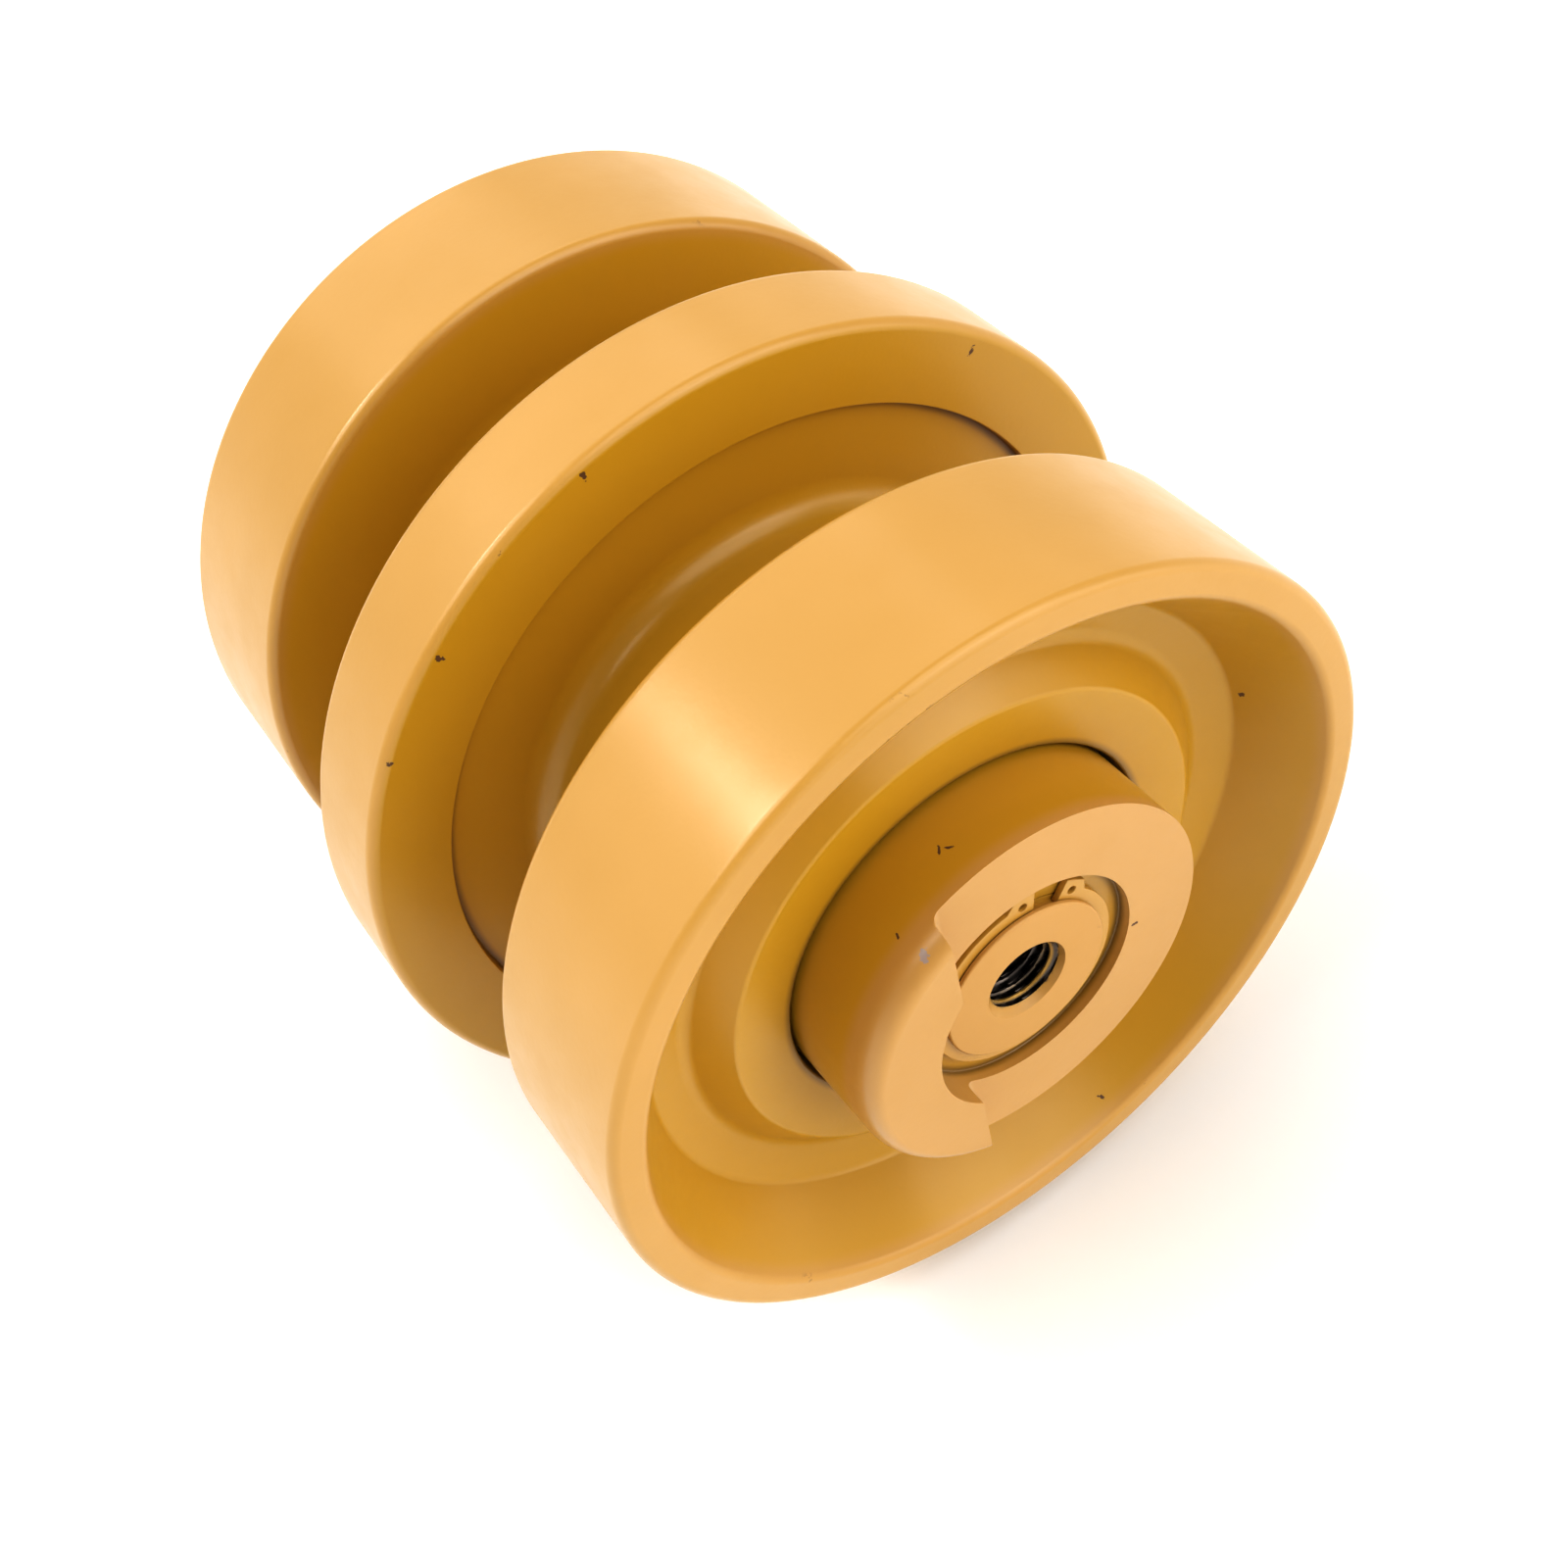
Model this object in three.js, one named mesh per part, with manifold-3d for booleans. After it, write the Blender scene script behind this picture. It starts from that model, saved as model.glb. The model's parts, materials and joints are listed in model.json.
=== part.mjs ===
// Track roller for a rubber-track undercarriage: a welded three-flange shell that turns on
// a fixed shaft. Millimetres, +Z up. The shaft lies along Y with its front end at -Y, and the
// origin is the middle of the roller. Both ends are mirror images of each other, so most
// profiles are written once, as [radius, distance from the middle], and turned for each end.

import * as THREE from 'three';
import { mergeVertices } from 'three/addons/utils/BufferGeometryUtils.js';
import Module from 'manifold-3d';

// ---- driving dimensions -------------------------------------------------------------
const GAP = 0.3; // working gap between pieces that touch or run against each other

// roller shell
const LIP_Y = 124.5; // rim's outer face
const LIP_R = 116.8; // outer radius of the flat lip
const LIP_INNER_R = 109.4;
const TREAD_R = 119.1;
const RIM_INNER_Y = 69.5; // rim's inner face, at the groove
const FLANGE_R = 128.2; // middle flange
const FLANGE_HALF = 16.55;
const RECESS_R = 104.9; // turned recess in each face of the middle flange
const RECESS_DEPTH = 3.5;
const BARREL_R = 73;
const FLANGE_FILLET = 9;
const RIM_FILLET = 14;
const EDGE_ROUND = 2.5;

// dished end of the shell
const DISH_FLOOR_R = 95.3;
const DISH_FLOOR_Y = 100.9;
const BOSS_FOOT_R = 83.1;
const BOSS_FOOT_Y = 97.1;
const BOSS_R = 73.5;
const BOSS_Y = 107;
const BOSS_FACE_Y = 105.9;
const LABYRINTH_R = 56.5; // the collar turns inside this bore
const LABYRINTH_Y = 95.5;
const SEAL_SEAT_R = 49.7;
const SEAL_SEAT_Y = 78.6;
const BORE_R = 36; // straight bore that the bushings press into

// shaft
const SHAFT_END_Y = 129.8;
const SHAFT_END_R = 25;
const JOURNAL_R = 30;
const SHOULDER_Y = 94.3; // the collar stops on this shoulder
const THRUST_FLANGE_R = 35.4;
const THRUST_FLANGE_HALF = 8;
const SHAFT_CHAMFER = 0.6;
const THREAD_R = 10.4; // crest radius of the M24 mounting thread
const THREAD_END_Y = 80.3;
const COUNTERSINK_R = 12.5;
const OIL_WAY_R = 4;
const OIL_CROSS_R = 3;

// collar
const COLLAR_R = 55.4;
const COLLAR_INNER_Y = 97.3;
const COLLAR_SEAT_Y = 130; // low outer face, against the track frame
const KEY_Y = 138.5; // top of the raised key
const KEY_X = -24; // flat of the key, across the collar
const KEY_ROOT_FILLET = 3;
const KEY_EDGE_IN = 4.6; // the key's outer edge rolls over by this much inwards
const KEY_EDGE_DOWN = 8; // and this much along the shaft
const COUNTERBORE_R = 33.6;
const COUNTERBORE_Y = 125.9;
const COLLAR_HUB_R = 36.5; // hub round the shaft, inside the seal recess
const COLLAR_RECESS_Y = 106.3;

// retaining ring and its groove
const RING_GROOVE_R = 23.5;
const RING_GROOVE_WIDTH = 2.6;
const RING_THICK = 2;
const RING_INNER_R = 23.8;
const RING_OUTER_R = 28.4;
const LUG_R = 31;
const LUG_HOLE_AT_R = 27.6;
const LUG_HOLE_R = 1.25;
const RING_OPENING = THREE.MathUtils.degToRad(9); // half of the gap between the ring's ends
const LUG_SPAN = THREE.MathUtils.degToRad(16);
const LUG_MIDDLE = THREE.MathUtils.degToRad(67); // where the opening points, from +X to +Z

// O-ring between shaft and collar
const O_RING_Y = 102.3;
const O_GROOVE_R = 22.2;
const O_GROOVE_WIDTH = 3.4;
const O_RING_SECTION_R = 1.35;

// floating seal: two iron rings that run face to face, each carried by a rubber toric
const SEAL_FACE_Y = 91.15;
const SEAL_FLANGE_THICK = 3.2;
const SEAL_LENGTH = 12;
const SEAL_INNER_R = 38;
const SEAL_TAIL_R = 43;
const SEAL_FLANGE_R = 48.4;
const TORIC_SECTION_R = 2.9;

// bushings, thrust washers and oil plug
const BUSHING_OUTER_R = 35.7;
const WASHER_THICK = 3;
const BUSHING_END_Y = 75.3;
const PLUG_R = 10;
const PLUG_LENGTH = 9;
const PLUG_SOCKET_AF = 8;
const PLUG_WASHER_THICK = 1.5;

// facets round each kind of piece
const SHELL_FACETS = 48;
const COLLAR_FACETS = 48;
const SHAFT_FACETS = 36;
const SEAL_FACETS = 24;
const TORIC_SIDES = 6;

const ENDS = { front: -1, rear: 1 };

const wasm = await Module();
wasm.setup();

// ---- materials ----------------------------------------------------------------------
function finish(color, roughness, metalness) {
  return new THREE.MeshStandardMaterial({ color, roughness, metalness });
}

const paint = () => finish(0xe8a738, 0.42, 0);
const groundSteel = () => finish(0xa9abad, 0.3, 1);
const springSteel = () => finish(0xd79a3a, 0.45, 0);
const bronze = () => finish(0xb98a4a, 0.35, 1);
const castIron = () => finish(0x6f7174, 0.35, 1);
const rubber = () => finish(0x1c1c1e, 0.7, 0);
const copper = () => finish(0xb8704a, 0.35, 1);

// ---- geometry helpers ---------------------------------------------------------------
// Points on a circular arc, in [radius, distance] space, from one angle to another in degrees.
function arc(centreR, centreY, radius, fromDeg, toDeg, steps) {
  const points = [];
  for (let i = 0; i <= steps; i += 1) {
    const angle = THREE.MathUtils.degToRad(fromDeg + ((toDeg - fromDeg) * i) / steps);
    points.push([centreR + radius * Math.cos(angle), centreY + radius * Math.sin(angle)]);
  }
  return points;
}

function signedArea(points) {
  let area = 0;
  points.forEach(([r, y], i) => {
    const [nextR, nextY] = points[(i + 1) % points.length];
    area += r * nextY - nextR * y;
  });
  return area / 2;
}

function welded(geometry) {
  const bare = geometry.index ? geometry.toNonIndexed() : geometry;
  bare.deleteAttribute('normal');
  bare.deleteAttribute('uv');
  const merged = mergeVertices(bare, 1e-4);
  return withoutSlivers(merged);
}

// Drops the triangles that shrink to a line where a profile meets the axis.
function withoutSlivers(geometry) {
  const kept = [];
  const index = geometry.index.array;
  for (let i = 0; i < index.length; i += 3) {
    const [a, b, c] = [index[i], index[i + 1], index[i + 2]];
    if (a !== b && b !== c && c !== a) kept.push(a, b, c);
  }
  geometry.setIndex(kept);
  geometry.computeVertexNormals();
  return geometry;
}

// Revolves a closed outline of [radius, distance] points about the Y axis, faces outward.
function turned(points, facets) {
  const outline = signedArea(points) > 0 ? points : [...points].reverse();
  const path = outline.map(([r, y]) => new THREE.Vector2(Math.max(r, 0), y));
  const onAxis = outline[0][0] < 1e-6 && outline[outline.length - 1][0] < 1e-6;
  if (!onAxis) path.push(path[0].clone());
  return welded(new THREE.LatheGeometry(path, facets));
}

// The same outline on the front (-1) or rear (+1) end of the roller.
function atEnd(points, side) {
  return points.map(([r, y]) => [r, side * y]);
}

function toManifold(geometry) {
  const mesh = new wasm.Mesh({
    numProp: 3,
    vertProperties: Float32Array.from(geometry.attributes.position.array),
    triVerts: Uint32Array.from(geometry.index.array),
  });
  return new wasm.Manifold(mesh);
}

function fromManifold(solid) {
  const { vertProperties, triVerts } = solid.getMesh();
  const geometry = new THREE.BufferGeometry();
  geometry.setAttribute('position', new THREE.BufferAttribute(vertProperties, 3));
  geometry.setIndex(new THREE.BufferAttribute(triVerts, 1));
  geometry.computeVertexNormals();
  return geometry;
}

function named(name, geometry, material) {
  const mesh = new THREE.Mesh(geometry, material);
  mesh.name = name;
  return mesh;
}

// ---- roller body --------------------------------------------------------------------
// Outside of one half of the shell, from the middle of the flange out to the boss face.
function shellOutside() {
  const recessY = FLANGE_HALF - RECESS_DEPTH;
  return [
    ...arc(FLANGE_R - EDGE_ROUND, FLANGE_HALF - EDGE_ROUND, EDGE_ROUND, 0, 90, 3),
    [RECESS_R, FLANGE_HALF],
    [RECESS_R - 1, recessY],
    ...arc(BARREL_R + FLANGE_FILLET, recessY + FLANGE_FILLET, FLANGE_FILLET, 270, 180, 4),
    ...arc(BARREL_R + RIM_FILLET, RIM_INNER_Y - RIM_FILLET, RIM_FILLET, 180, 90, 4),
    ...arc(TREAD_R - EDGE_ROUND, RIM_INNER_Y + EDGE_ROUND, EDGE_ROUND, 270, 360, 3),
    ...arc(LIP_R, LIP_Y - EDGE_ROUND, TREAD_R - LIP_R, 0, 60, 2),
    [LIP_R, LIP_Y],
    [LIP_INNER_R, LIP_Y],
    [DISH_FLOOR_R + 1, DISH_FLOOR_Y + 1.7],
    [DISH_FLOOR_R - 2, DISH_FLOOR_Y - 0.6],
    [BOSS_FOOT_R + 2, BOSS_FOOT_Y + 0.6],
    [BOSS_FOOT_R - 1.4, BOSS_FOOT_Y + 1.4],
    [BOSS_R + 1.5, BOSS_Y - 1.5],
    [BOSS_R - 1.5, BOSS_Y - 0.1],
    [LABYRINTH_R, BOSS_FACE_Y],
  ];
}

// Stepped bore of one half, from the boss face inwards.
function shellInside() {
  return [
    [LABYRINTH_R, LABYRINTH_Y],
    [SEAL_SEAT_R, LABYRINTH_Y],
    [SEAL_SEAT_R, SEAL_SEAT_Y],
    [BORE_R, SEAL_SEAT_Y],
  ];
}

function rollerShell() {
  const half = [...shellOutside(), ...shellInside()];
  const outline = [...atEnd([...half].reverse(), -1), ...half];
  return named('roller_shell', turned(outline, SHELL_FACETS), paint());
}

function bushing(end, side) {
  const innerY = THRUST_FLANGE_HALF + WASHER_THICK + 2 * GAP;
  const outline = [
    [JOURNAL_R + GAP, innerY],
    [BUSHING_OUTER_R, innerY],
    [BUSHING_OUTER_R, BUSHING_END_Y],
    [JOURNAL_R + GAP, BUSHING_END_Y],
  ];
  return named(`bushing_${end}`, turned(atEnd(outline, side), SHAFT_FACETS), bronze());
}

function thrustWasher(end, side) {
  const innerY = THRUST_FLANGE_HALF + GAP;
  const outline = [
    [JOURNAL_R + 2 * GAP, innerY],
    [THRUST_FLANGE_R, innerY],
    [THRUST_FLANGE_R, innerY + WASHER_THICK],
    [JOURNAL_R + 2 * GAP, innerY + WASHER_THICK],
  ];
  return named(`thrust_washer_${end}`, turned(atEnd(outline, side), SHAFT_FACETS), bronze());
}

// ---- floating seals -----------------------------------------------------------------
// direction is +1 for the ring outboard of the sealing face and -1 for the inboard one.
function sealRing(name, side, direction) {
  const faceY = SEAL_FACE_Y + (direction * GAP) / 2;
  const outline = [
    [SEAL_INNER_R + 2, faceY],
    [SEAL_FLANGE_R - 0.6, faceY],
    [SEAL_FLANGE_R, faceY + direction * 0.6],
    [SEAL_FLANGE_R, faceY + direction * SEAL_FLANGE_THICK],
    [SEAL_TAIL_R, faceY + direction * SEAL_FLANGE_THICK],
    [SEAL_TAIL_R, faceY + direction * SEAL_LENGTH],
    [SEAL_INNER_R, faceY + direction * SEAL_LENGTH],
    [SEAL_INNER_R, faceY + direction * 1.2],
  ];
  return named(name, turned(atEnd(outline, side), SEAL_FACETS), castIron());
}

function toric(name, side, direction) {
  const centreR = (SEAL_TAIL_R + SEAL_SEAT_R) / 2;
  const faceY = SEAL_FACE_Y + (direction * GAP) / 2;
  const centreY = faceY + direction * (SEAL_FLANGE_THICK + 1 + TORIC_SECTION_R);
  const step = 360 / TORIC_SIDES;
  const outline = arc(centreR, centreY, TORIC_SECTION_R, 0, 360 - step, TORIC_SIDES - 1);
  return named(name, turned(atEnd(outline, side), SEAL_FACETS), rubber());
}

// ---- shaft --------------------------------------------------------------------------
// Outside of the shaft from one shoulder to the end, then down the threaded hole.
function shaftEnd() {
  const ringTop = COUNTERBORE_Y + RING_GROOVE_WIDTH;
  const chamferR = SHAFT_END_R - SHAFT_CHAMFER;
  const countersink = COUNTERSINK_R - THREAD_R;
  return [
    [THRUST_FLANGE_R, THRUST_FLANGE_HALF],
    [JOURNAL_R, THRUST_FLANGE_HALF],
    [JOURNAL_R, SHOULDER_Y],
    [SHAFT_END_R, SHOULDER_Y],
    [SHAFT_END_R, O_RING_Y - O_GROOVE_WIDTH / 2],
    [O_GROOVE_R, O_RING_Y - O_GROOVE_WIDTH / 2],
    [O_GROOVE_R, O_RING_Y + O_GROOVE_WIDTH / 2],
    [SHAFT_END_R, O_RING_Y + O_GROOVE_WIDTH / 2],
    [SHAFT_END_R, COUNTERBORE_Y],
    [RING_GROOVE_R, COUNTERBORE_Y],
    [RING_GROOVE_R, ringTop],
    [SHAFT_END_R, ringTop],
    [SHAFT_END_R, SHAFT_END_Y - SHAFT_CHAMFER],
    [chamferR, SHAFT_END_Y],
    [COUNTERSINK_R, SHAFT_END_Y],
    [THREAD_R, SHAFT_END_Y - countersink],
    [THREAD_R, THREAD_END_Y],
  ];
}

// The front hole leads into the oil way, and the rear hole is blind with a drilled cone.
function shaft() {
  const oilWay = [
    [0, OIL_WAY_R + OIL_CROSS_R],
    [OIL_WAY_R, OIL_CROSS_R + 1],
    [OIL_WAY_R, -THREAD_END_Y],
  ];
  const front = atEnd([...shaftEnd()].reverse(), -1);
  const drillTip = [0, THREAD_END_Y - THREAD_R * Math.tan(THREE.MathUtils.degToRad(31))];
  const outline = [...oilWay, ...front, ...shaftEnd(), drillTip];
  const blank = toManifold(turned(outline, SHAFT_FACETS));
  const drill = new THREE.CylinderGeometry(OIL_CROSS_R, OIL_CROSS_R, 3 * THRUST_FLANGE_R, 12);
  drill.rotateZ(Math.PI / 2);
  const bored = blank.subtract(toManifold(welded(drill)));
  return named('shaft', fromManifold(bored), groundSteel());
}

function oilPlug() {
  const socketR = PLUG_SOCKET_AF / Math.sqrt(3);
  const topY = THREAD_END_Y + PLUG_WASHER_THICK + 2 * GAP + PLUG_LENGTH;
  const body = turned(
    [
      [0, -topY],
      [PLUG_R - 1, -topY],
      [PLUG_R, -topY + 1],
      [PLUG_R, -topY + PLUG_LENGTH],
      [0, -topY + PLUG_LENGTH],
    ],
    SEAL_FACETS,
  );
  const socket = new THREE.CylinderGeometry(socketR, socketR, 10, 6);
  socket.translate(0, -topY, 0);
  const cut = toManifold(body).subtract(toManifold(welded(socket)));
  return named('oil_plug', fromManifold(cut), groundSteel());
}

function oilPlugWasher() {
  const nearY = -(THREAD_END_Y + GAP);
  const outline = [
    [OIL_WAY_R + 1, nearY],
    [PLUG_R, nearY],
    [PLUG_R, nearY - PLUG_WASHER_THICK],
    [OIL_WAY_R + 1, nearY - PLUG_WASHER_THICK],
  ];
  return named('oil_plug_washer', turned(outline, SEAL_FACETS), copper());
}

function shaftORing(end, side) {
  const centreR = O_GROOVE_R + 0.15 + O_RING_SECTION_R;
  const step = 360 / TORIC_SIDES;
  const outline = arc(centreR, O_RING_Y, O_RING_SECTION_R, 0, 360 - step, TORIC_SIDES - 1);
  return named(`shaft_o_ring_${end}`, turned(atEnd(outline, side), SHAFT_FACETS), rubber());
}

// ---- collar -------------------------------------------------------------------------
// The outer edge of the key, a quarter of an ellipse from the collar's side to its flat top.
function keyEdge() {
  return arc(0, 0, 1, 0, 90, 4).map(([across, along]) => [
    COLLAR_R - KEY_EDGE_IN * (1 - across),
    KEY_Y - KEY_EDGE_DOWN * (1 - along),
  ]);
}

// The collar as turned, with the key's full height all round.
function collarBlank(side) {
  const outline = [
    [SHAFT_END_R + GAP, SHOULDER_Y + GAP],
    [COLLAR_HUB_R, SHOULDER_Y + GAP],
    [COLLAR_HUB_R, COLLAR_RECESS_Y],
    [SEAL_SEAT_R, COLLAR_RECESS_Y],
    [SEAL_SEAT_R, COLLAR_INNER_Y],
    [COLLAR_R, COLLAR_INNER_Y],
    ...keyEdge(),
    [COUNTERBORE_R, KEY_Y],
    [COUNTERBORE_R, COUNTERBORE_Y],
    [SHAFT_END_R + GAP, COUNTERBORE_Y],
  ];
  return toManifold(turned(atEnd(outline, side), COLLAR_FACETS));
}

// Everything above the low face and beyond the key's flat, with a filleted root.
function keyRelief(side) {
  const far = 2 * COLLAR_R;
  const high = KEY_Y + 10;
  const relief = new THREE.Shape();
  relief.moveTo(KEY_X, high);
  relief.lineTo(KEY_X, COLLAR_SEAT_Y + KEY_ROOT_FILLET);
  relief.absarc(
    KEY_X + KEY_ROOT_FILLET,
    COLLAR_SEAT_Y + KEY_ROOT_FILLET,
    KEY_ROOT_FILLET,
    Math.PI,
    1.5 * Math.PI,
    false,
  );
  relief.lineTo(far, COLLAR_SEAT_Y);
  relief.lineTo(far, high);
  relief.closePath();
  const depth = 2 * far;
  const block = new THREE.ExtrudeGeometry(relief, { depth, bevelEnabled: false, curveSegments: 4 });
  block.translate(0, 0, -depth / 2);
  if (side < 0) block.rotateX(Math.PI);
  return toManifold(welded(block));
}

function collar(end, side) {
  const solid = collarBlank(side).subtract(keyRelief(side));
  return named(`collar_${end}`, fromManifold(solid), paint());
}

// ---- retaining ring -----------------------------------------------------------------
function lugHole(angle) {
  const x = LUG_HOLE_AT_R * Math.cos(angle);
  const y = LUG_HOLE_AT_R * Math.sin(angle);
  const hole = new THREE.Path();
  hole.absarc(x, y, LUG_HOLE_R, 0, 2 * Math.PI, true);
  return hole;
}

// An open ring whose two ends widen into drilled lugs.
function snapRing(end, side) {
  const start = RING_OPENING;
  const lugEnd = start + LUG_SPAN;
  const stop = 2 * Math.PI - start;
  const outline = new THREE.Shape();
  outline.absarc(0, 0, LUG_R, start, lugEnd, false);
  outline.absarc(0, 0, RING_OUTER_R, lugEnd + 0.06, stop - LUG_SPAN - 0.06, false);
  outline.absarc(0, 0, LUG_R, stop - LUG_SPAN, stop, false);
  outline.absarc(0, 0, RING_INNER_R, stop, start, true);
  outline.holes.push(lugHole(start + LUG_SPAN / 2));
  outline.holes.push(lugHole(stop - LUG_SPAN / 2));
  const flat = { depth: RING_THICK, bevelEnabled: false, curveSegments: 10 };
  const geometry = new THREE.ExtrudeGeometry(outline, flat);
  geometry.rotateZ(LUG_MIDDLE);
  geometry.rotateX(Math.PI / 2);
  const nearY = side * (COUNTERBORE_Y + GAP);
  geometry.translate(0, side > 0 ? nearY + RING_THICK : nearY, 0);
  return named(`snap_ring_${end}`, welded(geometry), springSteel());
}

// ---- assembly -----------------------------------------------------------------------
const group = new THREE.Group();
group.add(rollerShell());
group.add(shaft());
group.add(oilPlug());
group.add(oilPlugWasher());
for (const [end, side] of Object.entries(ENDS)) {
  group.add(bushing(end, side));
  group.add(thrustWasher(end, side));
  group.add(sealRing(`seal_ring_turning_${end}`, side, -1));
  group.add(toric(`toric_turning_${end}`, side, -1));
  group.add(sealRing(`seal_ring_fixed_${end}`, side, 1));
  group.add(toric(`toric_fixed_${end}`, side, 1));
  group.add(shaftORing(end, side));
  group.add(collar(end, side));
  group.add(snapRing(end, side));
}

export default group;
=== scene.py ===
"""Track roller of a rubber-track undercarriage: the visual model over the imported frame.

Metres, +Z up, the shaft along Y with its front end at -Y, the origin in the middle of the
roller. Lengths are written in millimetres and scaled by MM where a mesh is made. Most pieces
are bodies of revolution, so an outline is a list of (radius, distance along Y, fillet).
"""

import json
import math

import bmesh
import bpy
from mathutils import Matrix, Vector


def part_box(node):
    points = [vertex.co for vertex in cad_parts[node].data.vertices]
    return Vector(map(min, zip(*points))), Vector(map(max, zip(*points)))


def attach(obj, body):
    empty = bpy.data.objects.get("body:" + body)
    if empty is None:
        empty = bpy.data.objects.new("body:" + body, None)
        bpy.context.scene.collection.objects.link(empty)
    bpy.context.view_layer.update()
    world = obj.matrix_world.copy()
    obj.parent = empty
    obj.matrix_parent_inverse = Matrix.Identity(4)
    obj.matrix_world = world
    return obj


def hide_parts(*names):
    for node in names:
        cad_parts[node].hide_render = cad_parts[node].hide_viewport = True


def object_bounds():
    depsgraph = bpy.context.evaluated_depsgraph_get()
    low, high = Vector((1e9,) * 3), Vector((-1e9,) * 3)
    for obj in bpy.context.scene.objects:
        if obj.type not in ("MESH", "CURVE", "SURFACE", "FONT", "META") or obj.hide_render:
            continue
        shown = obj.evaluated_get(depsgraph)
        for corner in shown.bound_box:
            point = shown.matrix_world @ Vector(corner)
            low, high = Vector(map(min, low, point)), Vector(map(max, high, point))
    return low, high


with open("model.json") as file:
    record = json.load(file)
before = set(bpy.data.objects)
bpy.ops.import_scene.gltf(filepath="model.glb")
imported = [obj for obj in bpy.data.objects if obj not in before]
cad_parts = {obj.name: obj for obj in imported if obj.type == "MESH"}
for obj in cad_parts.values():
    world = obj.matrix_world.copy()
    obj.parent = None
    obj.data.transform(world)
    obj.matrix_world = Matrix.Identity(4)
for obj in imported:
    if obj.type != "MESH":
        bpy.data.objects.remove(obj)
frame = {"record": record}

CAD_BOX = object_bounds()
MM = 0.001
ENDS = {"front": -1, "rear": 1}

# ---- sizes that the frame gives ------------------------------------------------------


def reach(node, axis):
    """How far a CAD node reaches along one axis, in millimetres."""
    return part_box(node)[1][axis] / MM


FLANGE_R = reach("roller_shell", 2)
LIP_Y = reach("roller_shell", 1)
COLLAR_R = reach("collar_rear", 2)
KEY_Y = reach("collar_rear", 1)
SHAFT_END_Y = reach("shaft", 1)
THRUST_R = reach("shaft", 2)
BUSHING_R = reach("bushing_rear", 2)
BUSHING_END_Y = reach("bushing_rear", 1)
SEAT_Y = abs(frame["record"]["mounts"][1]["pos_m"][1]) / MM
KEY_X = frame["record"]["mounts"][3]["pos_m"][0] / MM

# ---- sizes of the shell --------------------------------------------------------------
GAP = 0.3
FLANGE_HALF = 16.55
RECESS_R = 104.9
RECESS_Y = 13.05
RECESS_DRAFT = 0.5
BARREL_R = 73.0
RIM_INNER_Y = 69.5
TREAD_R = 119.1
LIP_INNER_R = 109.4
DISH_FLOOR_R = 95.3
DISH_FLOOR_Y = 100.9
BOSS_FOOT_R = 83.1
BOSS_FOOT_Y = 97.1
BOSS_R = 73.5
BOSS_Y = 107.0
BOSS_FACE_Y = 105.9
LABYRINTH_R = 56.5
LABYRINTH_Y = 95.5
SEAL_SEAT_R = 49.7
SEAL_SEAT_Y = 78.6
BORE_R = 36.0

# ---- sizes of the shaft and its small parts ------------------------------------------
SHAFT_END_R = 25.0
JOURNAL_R = 30.0
THRUST_HALF = 8.0
WASHER_THICKNESS = 3.0
SHOULDER_Y = 94.3
THREAD_CREST_R = 10.4
THREAD_DEPTH = 1.6
THREAD_PITCH = 3.0
THREAD_END_Y = 80.3
COUNTERSINK_R = 12.5
OIL_WAY_R = 4.0
OIL_PLUG_R = 10.0
OIL_PLUG_SOCKET_R = 4.6
O_RING_Y = 102.3
O_RING_R = 23.7
O_RING_SECTION_R = 1.15
O_RING_GROOVE_R = 22.2
O_RING_GROOVE_HALF = 1.7
RING_GROOVE_R = 23.5
RING_GROOVE_WIDTH = 2.6

# ---- sizes of the collars and their seals --------------------------------------------
COLLAR_INNER_Y = 97.3
COLLAR_RECESS_Y = 106.3
COLLAR_SLEEVE_R = 36.5
COUNTERBORE_R = 33.6
COUNTERBORE_Y = 125.9
KEY_EDGE_IN = 4.6
KEY_EDGE_DOWN = 8.0
SEAL_FACE_Y = 91.15
SEAL_RING_R = 48.4
SEAL_RING_RIM = 3.2
SEAL_RING_LENGTH = 12.0
SEAL_TAIL_R = 43.0
SEAL_RELIEF_R = 40.0
SEAL_BORE_R = 38.0
TORIC_R = 46.35
TORIC_SECTION_R = 2.5

# ---- sizes of the retaining rings ----------------------------------------------------
RING_INNER_R = 23.8
RING_OUTER_R = 28.4
RING_WEAR_R = 27.0
LUG_R = 31.0
LUG_HOLE_AT_R = 27.6
LUG_HOLE_AT_ANGLE = 17.0
LUG_HOLE_R = 1.25
RING_HALF_OPENING = 9.0
LUG_SPAN = 16.0
RING_TURN = 67.0

SHELL_SEGMENTS = 256
COLLAR_SEGMENTS = 192
SMALL_SEGMENTS = 96


# ---- mesh helpers --------------------------------------------------------------------
def rounded(corners, closed=True, steps=6):
    """Outline points from (radius, distance, fillet) corners, with an arc at each fillet."""
    points = []
    for i, (radius, along, fillet) in enumerate(corners):
        here = Vector((radius, along))
        at_end = not closed and i in (0, len(corners) - 1)
        if not fillet or at_end:
            points.append(here)
            continue
        before = (Vector(corners[i - 1][:2]) - here).normalized()
        after = (Vector(corners[(i + 1) % len(corners)][:2]) - here).normalized()
        half = before.angle(after) / 2
        centre = here + (before + after).normalized() * (fillet / math.sin(half))
        start = here + before * (fillet / math.tan(half)) - centre
        end = here + after * (fillet / math.tan(half)) - centre
        sweep = end.angle_signed(start)
        for k in range(steps + 1):
            turn = Matrix.Rotation(sweep * k / steps, 2)
            points.append(centre + turn @ start)
    return points


def mirrored(half):
    """A closed outline from the corners of its +Y half."""
    return half + [(radius, -along, fillet) for radius, along, fillet in reversed(half)]


def at_end(corners, side):
    return [(radius, side * along, fillet) for radius, along, fillet in corners]


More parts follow.
